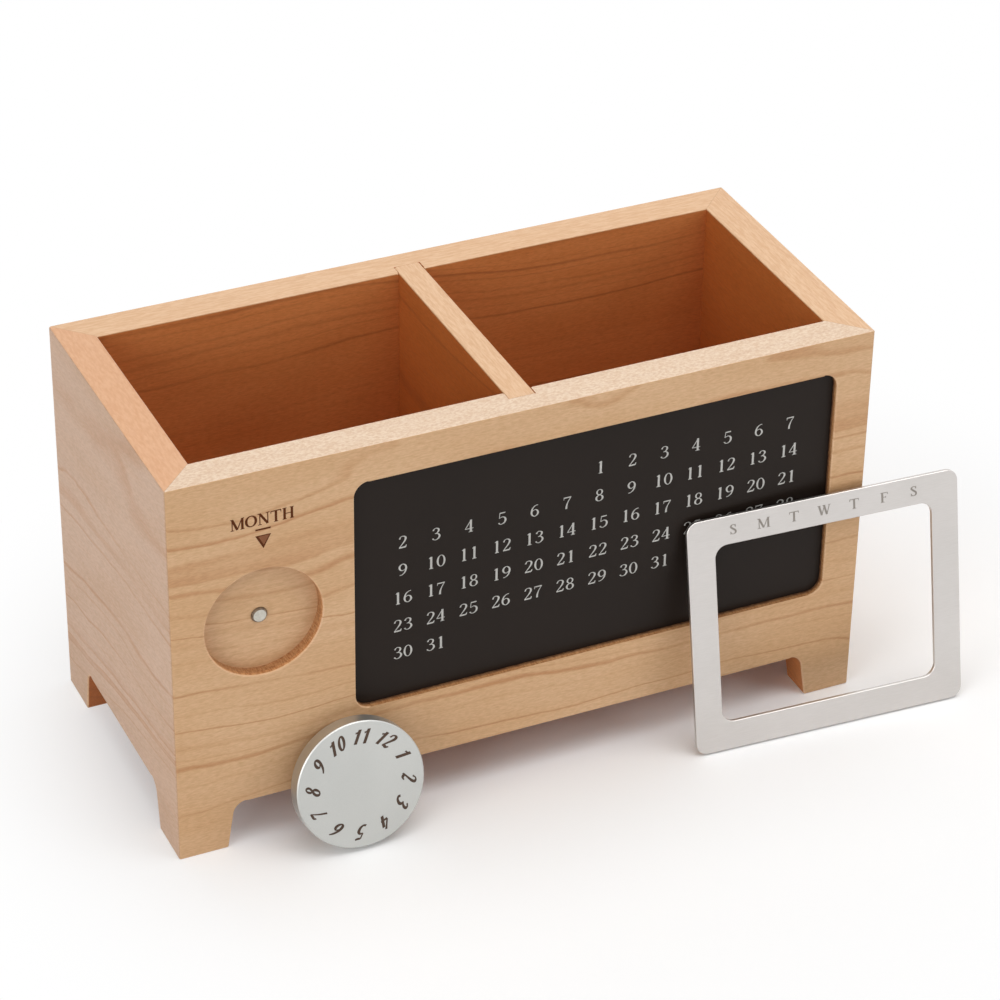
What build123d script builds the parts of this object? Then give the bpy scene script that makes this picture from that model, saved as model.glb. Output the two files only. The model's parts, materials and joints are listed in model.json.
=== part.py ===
"""Wooden pen box with a perpetual calendar on its front, in millimetres.

Four mitred boards stand on cut-away corner feet round a grooved-in floor, and a divider makes
two compartments.  The front board carries a numbered black plate in a long pocket and a magnet
in a round one.  The weekday frame and the month dial, which belong in those pockets, stand
taken off in front of the box and lean on it.  The origin is on the table under the middle of
the box, with X along the box, -Y out of the calendar's side and Z up.
"""

import os
from math import cos, radians, sin

from build123d import *

# --- Driving sizes --------------------------------------------------------------------------

# Box of four mitred boards
box_length = 179.5
box_depth = 79.2
box_height = 103.0
wall_thickness = 9.1
corner_radius = 0.6  # outer upright corners
arris = 0.3  # bevel on the rim's edges

# Corner feet, left where the lower edge of each board is cut away
foot_length = 12.4  # along the front and back boards, on the table
end_foot_length = 13.3  # along the two end boards
foot_height = 12.5
foot_taper = 2.0  # how much longer the foot is where it meets the board
foot_fillet = 3.5

# Floor board, held in a groove all round
floor_thickness = 4.0
floor_rise = 4.0  # wood left below the groove
floor_tongue = 3.6  # how far the floor reaches into each wall

# Divider across the middle, housed in the front and back boards
divider_thickness = 6.8
divider_tongue = 3.1

# Calendar: days in columns and weeks in rows
day_pitch = 8.4
week_pitch = 7.8
days_in_week = 7
day_columns = 13
week_rows = 6

# Weekday frame, a sheet with a window one week wide
frame_thickness = 1.0
frame_side_bar = 7.2
frame_cross_bar = 7.35  # top and bottom
frame_corner_radius = 3.0
window_corner_radius = 3.2
window_trim = 0.2  # how far each side bar reaches over a week's outer columns
frame_edge_bevel = 0.12

# Flexible magnet strips on the back of the frame's top and bottom bars
strip_thickness = 1.25
strip_width = 4.6
strip_end_margin = 4.5  # from the frame's end to the strip's end

# Pockets in the front board, both of one depth
pocket_depth = 3.3
plate_pocket_end_margin = 9.5  # wood left at the right-hand end
plate_pocket_top_margin = 9.5  # wood left below the rim
pocket_spacing = 8.0  # wood left between the two pockets

# Black plate and the film that sticks it down
plate_thickness = 1.5
film_thickness = 0.1
film_margin = 1.5

# Month dial, turned with a boss on its back
dial_diameter = 32.2
dial_thickness = 4.0
dial_edge_bevel = 0.25
dial_overlap = 1.6  # how far the rim covers the front round the pocket

# Magnet in the round pocket, and the steel keeper in the dial's boss
magnet_diameter = 4.0
magnet_length = 4.0
magnet_stand = 0.6  # how far it stands proud of the pocket's floor
magnet_edge_bevel = 0.25
keeper_diameter = 10.0
keeper_thickness = 1.9

# How the two loose pieces lean in front of the box
frame_lean = 12.0  # degrees back from upright
frame_turn = -2.9  # degrees round the upright axis, right-hand end forward
frame_overhang = 23.5  # how far the frame reaches past the box's right-hand end
dial_lean = 13.0
dial_from_end = 42.1  # from the box's left-hand end to the standing dial's middle

# Clearances
glue_gap = 0.05
slide_gap = 0.75  # round the weekday frame in its pocket
plate_gap = 0.15
dial_gap = 0.25  # round the dial's boss, and behind it
magnet_gap = 0.3  # round the magnet's head, in the keeper's socket
lean_gap = 0.3  # between a leaning piece and the box
table_gap = 0.2  # under a leaning piece

# --- Sizes that follow ----------------------------------------------------------------------

half_length = box_length / 2
half_depth = box_depth / 2
inner_length = box_length - 2 * wall_thickness
inner_depth = box_depth - 2 * wall_thickness

floor_underside = foot_height + floor_rise
floor_top = floor_underside + floor_thickness

window_length = days_in_week * day_pitch - 2 * window_trim
window_height = week_rows * week_pitch
frame_length = window_length + 2 * frame_side_bar
frame_height = window_height + 2 * frame_cross_bar
frame_travel = (day_columns - days_in_week) * day_pitch

plate_pocket_length = frame_length + frame_travel + 2 * slide_gap
plate_pocket_height = frame_height + 2 * slide_gap
plate_pocket_radius = frame_corner_radius + slide_gap
plate_pocket_right = half_length - plate_pocket_end_margin
plate_pocket_left = plate_pocket_right - plate_pocket_length
plate_pocket_x = (plate_pocket_left + plate_pocket_right) / 2
pocket_z = box_height - plate_pocket_top_margin - plate_pocket_height / 2

dial_radius = dial_diameter / 2
dial_pocket_radius = dial_radius - dial_overlap
dial_pocket_x = plate_pocket_left - pocket_spacing - dial_pocket_radius
boss_radius = dial_pocket_radius - dial_gap
dial_full_thickness = dial_thickness + pocket_depth - dial_gap
socket_radius = magnet_diameter / 2 + magnet_gap
socket_depth = magnet_stand + magnet_gap - dial_gap

front_plane = Plane(origin=(0, -half_depth, 0), x_dir=(1, 0, 0), z_dir=(0, -1, 0))
end_plane = Plane(origin=(-half_length, 0, 0), x_dir=(0, -1, 0), z_dir=(-1, 0, 0))
pocket_floor = front_plane.offset(-pocket_depth)

print(f"weekday frame {frame_length:.1f} x {frame_height:.1f}, slides {frame_travel:.1f}")
print(f"plate pocket {plate_pocket_length:.1f} x {plate_pocket_height:.1f}")

os.makedirs("parts", exist_ok=True)


def finish_piece(piece, name):
    """Label a finished piece and write it under its own name."""
    piece.label = name
    export_step(piece, f"parts/{name}.step")


# --- The four boards ------------------------------------------------------------------------


def foot_arch(plane, low):
    """Outline cut from a board's lower edge, out to low on the table and rounded above."""
    high = low - foot_taper
    with BuildSketch(plane) as arch:
        with BuildLine():
            Polyline((-low, 0), (low, 0), (high, foot_height), (-high, foot_height), close=True)
        make_face()
        fillet(arch.vertices().group_by(Axis.Y)[-1], radius=foot_fillet)
    return arch.sketch


def between_mitres(*corners):
    """Plan of one board's share of the box, bounded by the 45-degree mitres."""
    with BuildSketch() as share:
        with BuildLine():
            Polyline(*corners, close=True)
        make_face()
    return share.sketch


with BuildPart() as board_ring:
    with BuildSketch():
        RectangleRounded(box_length, box_depth, corner_radius)
        Rectangle(inner_length, inner_depth, mode=Mode.SUBTRACT)
    extrude(amount=box_height)
    chamfer(board_ring.faces().sort_by(Axis.Z)[-1].edges(), length=arris)

    # The feet are what two arches leave, one through front and back, one through both ends
    front_arch = foot_arch(front_plane, half_length - foot_length)
    end_arch = foot_arch(end_plane, half_depth - end_foot_length)
    extrude(front_arch, amount=-box_depth, mode=Mode.SUBTRACT)
    extrude(end_arch, amount=-box_length, mode=Mode.SUBTRACT)

    # Groove for the floor
    with BuildSketch(Plane.XY.offset(floor_underside)):
        Rectangle(
            inner_length + 2 * (floor_tongue + glue_gap),
            inner_depth + 2 * (floor_tongue + glue_gap),
        )
    extrude(amount=floor_thickness + glue_gap, mode=Mode.SUBTRACT)

    # Housings for the divider's two ends, open at the rim
    with BuildSketch(Plane.XY.offset(floor_top)):
        Rectangle(
            divider_thickness + 2 * glue_gap,
            inner_depth + 2 * (divider_tongue + glue_gap),
        )
    extrude(amount=box_height - floor_top, mode=Mode.SUBTRACT)

ridge = half_length - half_depth  # the two mitres of an end meet this far from the middle
front_left, front_right = (-half_length, -half_depth), (half_length, -half_depth)
back_left, back_right = (-half_length, half_depth), (half_length, half_depth)
left_meet, right_meet = (-ridge, 0), (ridge, 0)

with BuildPart() as front_wall:
    add(board_ring.part)
    front_share = between_mitres(front_left, front_right, right_meet, left_meet)
    extrude(front_share, amount=box_height, mode=Mode.INTERSECT)

    # The long pocket for the plate and the round one for the dial
    with BuildSketch(front_plane):
        with Locations((plate_pocket_x, pocket_z)):
            RectangleRounded(plate_pocket_length, plate_pocket_height, plate_pocket_radius)
        with Locations((dial_pocket_x, pocket_z)):
            Circle(dial_pocket_radius)
    extrude(amount=-pocket_depth, mode=Mode.SUBTRACT)

    # Hole that the magnet is pressed into
    with BuildSketch(pocket_floor):
        with Locations((dial_pocket_x, pocket_z)):
            Circle(magnet_diameter / 2 + glue_gap)
    extrude(amount=-(magnet_length - magnet_stand), mode=Mode.SUBTRACT)

finish_piece(front_wall.part, "front_wall")

with BuildPart() as back_wall:
    add(board_ring.part)
    back_share = between_mitres(back_right, back_left, left_meet, right_meet)
    extrude(back_share, amount=box_height, mode=Mode.INTERSECT)

finish_piece(back_wall.part, "back_wall")

with BuildPart() as left_wall:
    add(board_ring.part)
    left_share = between_mitres(back_left, front_left, left_meet)
    extrude(left_share, amount=box_height, mode=Mode.INTERSECT)

finish_piece(left_wall.part, "left_wall")

with BuildPart() as right_wall:
    add(board_ring.part)
    right_share = between_mitres(front_right, back_right, right_meet)
    extrude(right_share, amount=box_height, mode=Mode.INTERSECT)

finish_piece(right_wall.part, "right_wall")

# --- Floor and divider ----------------------------------------------------------------------

with BuildPart() as floor_panel:
    with BuildSketch(Plane.XY.offset(floor_underside)):
        Rectangle(inner_length + 2 * floor_tongue, inner_depth + 2 * floor_tongue)
    extrude(amount=floor_thickness)

finish_piece(floor_panel.part, "floor_panel")

with BuildPart() as divider:
    with BuildSketch(Plane.XY.offset(floor_top)):
        Rectangle(divider_thickness, inner_depth + 2 * divider_tongue)
    extrude(amount=box_height - floor_top)
    chamfer(divider.faces().sort_by(Axis.Z)[-1].edges().filter_by(Axis.Y), length=arris)

finish_piece(divider.part, "divider")

# --- Numbered plate, its film, and the magnet -----------------------------------------------

with BuildPart() as plate_film:
    with BuildSketch(pocket_floor):
        with Locations((plate_pocket_x, pocket_z)):
            Rectangle(
                plate_pocket_length - 2 * film_margin,
                plate_pocket_height - 2 * film_margin,
            )
    extrude(amount=film_thickness)

finish_piece(plate_film.part, "plate_film")

with BuildPart() as calendar_plate:
    with BuildSketch(pocket_floor.offset(film_thickness)):
        with Locations((plate_pocket_x, pocket_z)):
            RectangleRounded(
                plate_pocket_length - 2 * plate_gap,
                plate_pocket_height - 2 * plate_gap,
                plate_pocket_radius - plate_gap,
            )
    extrude(amount=plate_thickness)

finish_piece(calendar_plate.part, "calendar_plate")

with BuildPart() as dial_magnet:
    with BuildSketch(pocket_floor.offset(magnet_stand)):
        with Locations((dial_pocket_x, pocket_z)):
            Circle(magnet_diameter / 2)
    extrude(amount=-magnet_length)
    chamfer(dial_magnet.faces().sort_by(Axis.Y)[0].edges(), length=magnet_edge_bevel)

finish_piece(dial_magnet.part, "dial_magnet")

# --- Month dial and its keeper --------------------------------------------------------------

# The dial stands on the back of its rim and leans back until its boss meets the front board
lean_sin, lean_cos = sin(radians(dial_lean)), cos(radians(dial_lean))
dial_y = -half_depth - lean_gap - dial_full_thickness * lean_cos - boss_radius * lean_sin
dial_z = table_gap + dial_radius * lean_cos + dial_thickness * lean_sin
dial_axis = Axis((dial_from_end - half_length, dial_y, dial_z), (0, -lean_cos, lean_sin))

# Half section through the axis, with x as the radius and y out of the face
dial_section = Plane(
    origin=dial_axis.position,
    x_dir=(1, 0, 0),
    z_dir=(0, -lean_sin, -lean_cos),
)
boss_end = -dial_full_thickness
keeper_radius = keeper_diameter / 2
keeper_top = boss_end + keeper_thickness

with BuildPart() as month_dial:
    with BuildSketch(dial_section):
        with BuildLine():
            Polyline(
                (0, 0),
                (dial_radius - dial_edge_bevel, 0),
                (dial_radius, -dial_edge_bevel),
                (dial_radius, -dial_thickness),
                (boss_radius, -dial_thickness),
                (boss_radius, boss_end),
                (keeper_radius + glue_gap, boss_end),
                (keeper_radius + glue_gap, keeper_top),
                (0, keeper_top),
                close=True,
            )
        make_face()
    revolve(axis=dial_axis)

finish_piece(month_dial.part, "month_dial")

with BuildPart() as dial_keeper:
    with BuildSketch(dial_section):
        with BuildLine():
            Polyline(
                (0, keeper_top),
                (keeper_radius, keeper_top),
                (keeper_radius, boss_end),
                (socket_radius, boss_end),
                (socket_radius, boss_end + socket_depth),
                (0, boss_end + socket_depth),
                close=True,
            )
        make_face()
    revolve(axis=dial_axis)

finish_piece(dial_keeper.part, "dial_keeper")

# --- Weekday frame and its magnet strips ----------------------------------------------------

# Directions in the leaning sheet: along its lower edge, and out of its face
turn_sin, turn_cos = sin(radians(frame_turn)), cos(radians(frame_turn))
tilt_sin, tilt_cos = sin(radians(frame_lean)), cos(radians(frame_lean))
frame_along = (turn_cos, turn_sin, 0)
frame_out = (turn_sin * tilt_cos, -turn_cos * tilt_cos, tilt_sin)

# The top strip's upper edge meets the wood at the right-hand end of the plate's pocket
strip_side_margin = (frame_cross_bar - strip_width) / 2
touch_along = (plate_pocket_right - half_length - frame_overhang) / turn_cos + frame_length
touch_up = frame_height - strip_side_margin
touch_back = frame_thickness + strip_thickness
frame_x = half_length + frame_overhang - frame_length * turn_cos
frame_y = (
    -half_depth
    - lean_gap
    - touch_along * turn_sin
    - touch_up * turn_cos * tilt_sin
    - touch_back * turn_cos * tilt_cos
)
frame_z = table_gap + frame_thickness * tilt_sin
frame_face = Plane(origin=(frame_x, frame_y, frame_z), x_dir=frame_along, z_dir=frame_out)

with BuildPart() as weekday_frame:
    with BuildSketch(frame_face):
        with Locations((frame_length / 2, frame_height / 2)):
            RectangleRounded(frame_length, frame_height, frame_corner_radius)
            RectangleRounded(
                window_length,
                window_height,
                window_corner_radius,
                mode=Mode.SUBTRACT,
            )
    extrude(amount=-frame_thickness)
    outline = weekday_frame.faces().filter_by(frame_face).sort_by(Axis(frame_face.origin, frame_out))
    chamfer(outline[-1].edges(), length=frame_edge_bevel)

finish_piece(weekday_frame.part, "weekday_frame")


def magnet_strip(height_up):
    """Plan of a strip stuck to the back of one of the frame's bars."""
    with BuildSketch(frame_face.offset(-frame_thickness)) as strip:
        with Locations((frame_length / 2, height_up)):
            Rectangle(frame_length - 2 * strip_end_margin, strip_width)
    return strip.sketch


with BuildPart() as upper_magnet_strip:
    extrude(magnet_strip(frame_height - frame_cross_bar / 2), amount=-strip_thickness)

finish_piece(upper_magnet_strip.part, "upper_magnet_strip")

with BuildPart() as lower_magnet_strip:
    extrude(magnet_strip(frame_cross_bar / 2), amount=-strip_thickness)

finish_piece(lower_magnet_strip.part, "lower_magnet_strip")
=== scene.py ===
import json
from math import cos, pi, radians, sin

import bmesh
import bpy
from mathutils import Matrix, Vector

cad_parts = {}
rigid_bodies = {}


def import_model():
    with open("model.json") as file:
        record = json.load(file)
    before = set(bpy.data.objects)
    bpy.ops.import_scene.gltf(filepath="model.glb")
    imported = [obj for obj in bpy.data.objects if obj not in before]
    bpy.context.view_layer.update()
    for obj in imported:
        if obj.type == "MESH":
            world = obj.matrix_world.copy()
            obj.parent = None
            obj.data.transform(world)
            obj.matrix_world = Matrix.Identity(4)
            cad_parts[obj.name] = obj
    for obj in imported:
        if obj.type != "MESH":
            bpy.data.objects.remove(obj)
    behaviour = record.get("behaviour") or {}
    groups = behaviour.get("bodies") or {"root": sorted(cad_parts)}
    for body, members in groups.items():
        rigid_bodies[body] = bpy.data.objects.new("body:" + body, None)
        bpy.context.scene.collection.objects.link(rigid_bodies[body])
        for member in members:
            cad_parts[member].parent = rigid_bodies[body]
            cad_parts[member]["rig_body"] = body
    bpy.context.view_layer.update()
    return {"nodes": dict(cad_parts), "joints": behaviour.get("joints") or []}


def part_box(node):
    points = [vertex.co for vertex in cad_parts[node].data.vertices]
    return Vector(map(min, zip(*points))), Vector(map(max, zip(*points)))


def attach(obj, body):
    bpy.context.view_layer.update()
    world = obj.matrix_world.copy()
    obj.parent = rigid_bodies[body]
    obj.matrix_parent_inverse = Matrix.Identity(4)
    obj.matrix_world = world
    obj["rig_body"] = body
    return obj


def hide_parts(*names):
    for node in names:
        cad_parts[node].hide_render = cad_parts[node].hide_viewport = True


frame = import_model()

mm = 0.001

# --- Front board ------------------------------------------------------------------------------
# Cherry board, about 9 mm thick and mitred at both ends, with the two shallow pockets of the
# calendar milled in its face.  Arrises are sanded soft, the rim is planed, and all is oiled.

outer_x, outer_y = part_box("right_wall")[1].x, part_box("back_wall")[1].y
rim_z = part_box("front_wall")[1].z
mitre_offset = outer_x - outer_y  # |x| less |y| on every mitre
foot_height = 12.5 * mm
pocket_depth = 3.3 * mm
arris_radius = 0.35 * mm
pale_cherry = (0.700, 0.432, 0.230, 1)
ring_cherry = (0.490, 0.205, 0.068, 1)
# Paler tone of the rounded arrises: painted highlight
arris_highlight_cherry = (0.770, 0.485, 0.275, 1)
milled_cherry = (0.560, 0.270, 0.110, 1)
# Deeper tones of the faces inside and under the box: painted shade
inner_shade_cherry = (0.620, 0.222, 0.062, 1)
inner_shade_ring = (0.280, 0.082, 0.022, 1)
# Painted shade on the pocket walls, darkest at the pockets' floors
pocket_shade_tone = (0.045, 0.014, 0.006, 1)
glue_line_tone = (0.25, 0.09, 0.03, 1)
front_pith = (10, 60, -104)
# Speck tones for faces that look up: partly the planed rim's fibres, partly painted sheen and glints
front_rim_fibres_and_sheen = ((1.2, 2.2, 2.2), (0.70, 0.50, 0.35, 1), (0.88, 0.73, 0.58, 1), 0.8)
between_pockets = -48 * mm  # along the board
below_pockets = 20 * mm  # up the board
least_mitre = 2e-4  # area of the smallest mitred face, in square metres
SCALAR, COLOUR, VECTOR = "NodeSocketFloat", "NodeSocketColor", "NodeSocketVector"


def add_node(tree, kind, inputs=None, **settings):
    """Add a node to a tree; an input takes a plain value or another node's socket."""
    made = tree.nodes.new(kind)
    for setting, value in settings.items():
        setattr(made, setting, value)
    for key, value in (inputs or {}).items():
        if isinstance(value, bpy.types.NodeSocket):
            tree.links.new(value, made.inputs[key])
        else:
            made.inputs[key].default_value = value
    return made


def add_math(tree, operation, *values):
    """Add a Math node and return its result."""
    kind = "ShaderNodeMath"
    return add_node(tree, kind, dict(enumerate(values)), operation=operation).outputs[0]


def add_vector(tree, operation, first, second):
    """Add a Vector Math node and return its vector."""
    kind = "ShaderNodeVectorMath"
    return add_node(tree, kind, {0: first, 1: second}, operation=operation).outputs[0]


def add_ramp(tree, value, low, high, to_low=0.0, to_high=1.0):
    """Ease a value from one range to another with a smooth step."""
    inputs = {"Value": value, "From Min": low, "From Max": high, "To Min": to_low, "To Max": to_high}
    kind = "ShaderNodeMapRange"
    return add_node(tree, kind, inputs, interpolation_type="SMOOTHSTEP").outputs["Result"]


def add_mix(tree, share, first, second, blend="MIX"):
    """Mix two colours and return the result."""
    inputs = {0: share, 6: first, 7: second}
    return add_node(tree, "ShaderNodeMix", inputs, data_type="RGBA", blend_type=blend).outputs[2]


def add_tones(tree, value, low, high, spans):
    """A tone whose red, green and blue each follow the value over a span of their own."""
    channels = {index: add_ramp(tree, value, low, high, *span) for index, span in enumerate(spans)}
    return add_node(tree, "ShaderNodeCombineColor", channels).outputs[0]


def add_noise(tree, place, stretch, detail=2.0, roughness=0.5, output="Fac"):
    """Noise over a place that is first stretched by one factor an axis."""
    inputs = {
        "Vector": add_vector(tree, "MULTIPLY", place, stretch),
        "Scale": 1.0, "Detail": detail, "Roughness": roughness,
    }
    return add_node(tree, "ShaderNodeTexNoise", inputs).outputs[output]


def start_group(name, sockets, kind="ShaderNodeTree"):
    """Make a node group whose inputs are (name, type, default), and give its inputs' sockets."""
    group = bpy.data.node_groups.new(name, kind)
    for socket, socket_type, default in sockets:
        made = group.interface.new_socket(socket, in_out="INPUT", socket_type=socket_type)
        if default is not None:
            made.default_value = default
    return group, group.nodes.new("NodeGroupInput").outputs


def end_group(group, **results):
    """Give a group its outputs."""
    kinds = {"RGBA": COLOUR, "GEOMETRY": "NodeSocketGeometry"}
    end = group.nodes.new("NodeGroupOutput")
    for name, value in results.items():
        kind = kinds.get(value.type, SCALAR)
        group.interface.new_socket(name, in_out="OUTPUT", socket_type=kind)
        group.links.new(value, end.inputs[name])


# Grain: growth rings round a pith beside the board, with fibres and pores along it.  The place
# comes in millimetres with the grain along X, and the rings are round the line Y = Z = -pith.
grain, given = start_group("cherry_grain", [
    ("Place", VECTOR, None),
    ("Pith", VECTOR, (0, 60, 40)),
    ("Ring Width", SCALAR, 3.0),
    ("Waviness", SCALAR, 1.0),
    ("Pale", COLOUR, pale_cherry),
    ("Ring", COLOUR, ring_cherry),
    ("Line Strength", SCALAR, 0.6),
    ("Fleck Strength", SCALAR, 0.5),
])
place = given["Place"]


def bend_across(stretch, detail, size):
    """Noise as a shift across the grain, of about this size in millimetres."""
    colour = add_noise(grain, place, stretch, detail, output="Color")
    shift = add_vector(grain, "SUBTRACT", colour, (0.5, 0.5, 0.5))
    reach = add_math(grain, "MULTIPLY", given["Waviness"], size)
    scaled = add_node(grain, "ShaderNodeVectorMath", {0: shift, 3: reach}, operation="SCALE")
    return add_vector(grain, "MULTIPLY", scaled.outputs[0], (0, 1, 1))


bent = add_vector(grain, "ADD", place, given["Pith"])
bent = add_vector(grain, "ADD", bent, bend_across((0.008, 0.022, 0.022), 1.0, 26.0))
bent = add_vector(grain, "ADD", bent, bend_across((0.045, 0.11, 0.11), 2.0, 3.2))
across = add_vector(grain, "MULTIPLY", bent, (0, 1, 1))
radius = add_node(grain, "ShaderNodeVectorMath", {0: across}, operation="LENGTH").outputs["Value"]
uneven = add_node(grain, "ShaderNodeTexNoise", {
    "W": add_math(grain, "MULTIPLY", radius, 0.16), "Scale": 1.0, "Detail": 1.0,
}, noise_dimensions="1D").outputs["Fac"]
rings = add_math(
    grain, "ADD",
    add_math(grain, "DIVIDE", radius, given["Ring Width"]),
    add_math(grain, "MULTIPLY", uneven, 3.0),
)
share = add_math(grain, "FRACT", rings)
late_wood = add_math(
    grain, "MULTIPLY", add_ramp(grain, share, 0.55, 0.85), add_ramp(grain, share, 0.85, 1.0, 1.0, 0.0),
)
ring_weight = add_node(grain, "ShaderNodeTexWhiteNoise", {
    "W": add_math(grain, "FLOOR", rings),
}, noise_dimensions="1D").outputs["Value"]
patchy = add_noise(grain, place, (0.02, 0.09, 0.09))
line = add_math(
    grain, "MULTIPLY",
    add_math(grain, "MULTIPLY", late_wood, add_ramp(grain, ring_weight, 0.2, 0.8, 0.05, 1.0)),
    add_ramp(grain, patchy, 0.25, 0.60, 0.40, 1.0),
)
fibre = add_noise(grain, place, (0.05, 2.6, 2.6), 3.0, 0.6)
dash = add_noise(grain, place, (0.55, 2.3, 2.3), 2.0, 0.65)
pore_mark = add_ramp(grain, add_noise(grain, place, (0.6, 4.2, 4.2), 1.0), 0.54, 0.72)
cloud = add_noise(grain, place, (0.018, 0.07, 0.07))
cloud_tone = add_tones(grain, cloud, 0.3, 0.7, [(0.96, 1.03), (0.93, 1.05), (0.88, 1.08)])
line_share = add_math(grain, "MULTIPLY", line, given["Line Strength"])
toned = add_mix(grain, line_share, given["Pale"], given["Ring"])
toned = add_mix(grain, 1.0, toned, cloud_tone, "MULTIPLY")
for streak, depth in ((fibre, 0.03), (dash, 0.075)):
    tone = add_tones(grain, streak, 0.3, 0.7, [
        (1.0 - depth * warmth, 1.0 + depth * warmth) for warmth in (0.8, 1.1, 1.6)
    ])
    toned = add_mix(grain, 1.0, toned, tone, "MULTIPLY")
fleck_share = add_math(grain, "MULTIPLY", pore_mark, given["Fleck Strength"])
flecked = add_mix(grain, fleck_share, toned, given["Ring"])
height = add_math(
    grain, "SUBTRACT",
    add_math(grain, "MULTIPLY", add_math(grain, "ADD", fibre, dash), 0.4),
    add_math(grain, "ADD", add_math(grain, "MULTIPLY", pore_mark, 0.6), line),
)
gloss = add_ramp(grain, fibre, 0.3, 0.7, 0.44, 0.58)
end_group(grain, Color=flecked, Height=height, Roughness=gloss)


def start_material(name, turn=(0, 0, 0)):
    """Start a material, and give its coordinates and its turned place in millimetres."""
    material = bpy.data.materials.new(name)
    material.use_nodes = True
    here = material.node_tree.nodes.new("ShaderNodeTexCoord").outputs
    mapped = add_node(material.node_tree, "ShaderNodeMapping", {
        "Vector": here["Object"], "Rotation": turn, "Scale": (1000, 1000, 1000),
    })
    return material, here, mapped.outputs[0]


def finish_shader(material, colour, roughness, height, bump, depth):
    """Feed the shader its colour and roughness, and the height as a bump this strong and deep."""
    tree = material.node_tree
    shader = tree.nodes["Principled BSDF"]
    bumped = add_node(tree, "ShaderNodeBump", {"Height": height, "Strength": bump, "Distance": depth})
    tree.links.new(colour, shader.inputs["Base Color"])
    tree.links.new(roughness, shader.inputs["Roughness"])
    tree.links.new(bumped.outputs["Normal"], shader.inputs["Normal"])
    return shader


def cherry_material(name, turn, pith, ring_width=3.0, waviness=1.0, pale=pale_cherry,
                    ring=ring_cherry, lines=0.7, flecks=0.2, joint=True, rim=None, pocket_shade=0.0):
    """Oiled cherry; turn brings the board's grain to X, and joint draws its glued mitres.

    The rim is (stretch, low tone, high tone, amount) of a paler, speckled tone on faces that look up:
    partly the cut fibres that show on the planed rim, partly painted sheen and glints; the last
    argument is how strongly painted shade darkens a pocket's wall towards the pocket's floor.
    """
    material, here, place = start_material(name, turn)
    tree = material.node_tree
    wood = add_node(tree, "ShaderNodeGroup", {
        "Place": place, "Pith": pith, "Ring Width": ring_width, "Waviness": waviness, "Pale": pale,
        "Ring": ring, "Line Strength": lines, "Fleck Strength": flecks,
    }, node_tree=grain).outputs
    colour = wood["Color"]
    if rim:
        # Faces that look up are paler and speckled: partly the planed rim's cut fibres, partly painted
        # sheen and glints
        stretch, low_tone, high_tone, amount = rim
        facing = add_node(tree, "ShaderNodeSeparateXYZ", {0: here["Normal"]})
        on_rim = add_ramp(tree, facing.outputs["Z"], 0.55, 0.95)
        speck = add_noise(tree, place, stretch, 3.0, 0.6)
        fibres_and_sheen = add_mix(tree, add_ramp(tree, speck, 0.30, 0.70), low_tone, high_tone)
        colour = add_mix(tree, add_math(tree, "MULTIPLY", on_rim, amount), colour, fibres_and_sheen)
    if pocket_shade:
        # The cutter tore the wall's cut fibres, and painted shade darkens the wall most of all at the
        # pocket's floor
        torn = add_noise(tree, place, (3.0, 0.8, 3.0), 2.0, 0.7)
        torn_tone = add_tones(tree, torn, 0.35, 0.65, [(0.80, 1.20), (0.68, 1.32), (0.58, 1.42)])
        colour = add_mix(tree, 1.0, colour, torn_tone, "MULTIPLY")
        deep = add_node(tree, "ShaderNodeSeparateXYZ", {0: here["Object"]}).outputs["Y"]
        shade_share = add_ramp(tree, deep, -outer_y + 0.6 * mm, -outer_y + 1.6 * mm, 0.10, 1.0)
        uneven_shade = add_noise(tree, place, (0.9, 2.5, 0.9), 3.0, 0.7)
        shade_share = add_math(tree, "MULTIPLY", shade_share, add_ramp(tree, uneven_shade, 0.3, 0.65, 0.60, 1.0))
        colour = add_mix(tree, add_math(tree, "MULTIPLY", shade_share, pocket_shade), colour, pocket_shade_tone)
    if joint:
        split = add_node(tree, "ShaderNodeSeparateXYZ", {0: here["Object"]}).outputs
        apart = add_math(
            tree, "SUBTRACT",
            add_math(tree, "ABSOLUTE", split["X"]), add_math(tree, "ABSOLUTE", split["Y"]),
        )
        off_mitre = add_math(tree, "ABSOLUTE", add_math(tree, "SUBTRACT", apart, mitre_offset))
        seam = add_ramp(tree, off_mitre, 0.05 * mm, 0.20 * mm, 0.22, 0.0)
        colour = add_mix(tree, seam, colour, glue_line_tone)
    finish_shader(material, colour, wood["Roughness"], wood["Height"], 0.12, 0.05 * mm)
    return material


def piece_from(work, name, place=None):
    """Keep a worked mesh as an object in the scene, moved to its place."""
    mesh = bpy.data.meshes.new(name)
    work.to_mesh(mesh)
    work.free()
    if place is not None:
        mesh.transform(place)
    piece = bpy.data.objects.new(name, mesh)
    bpy.context.scene.collection.objects.link(piece)
    return piece


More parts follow.
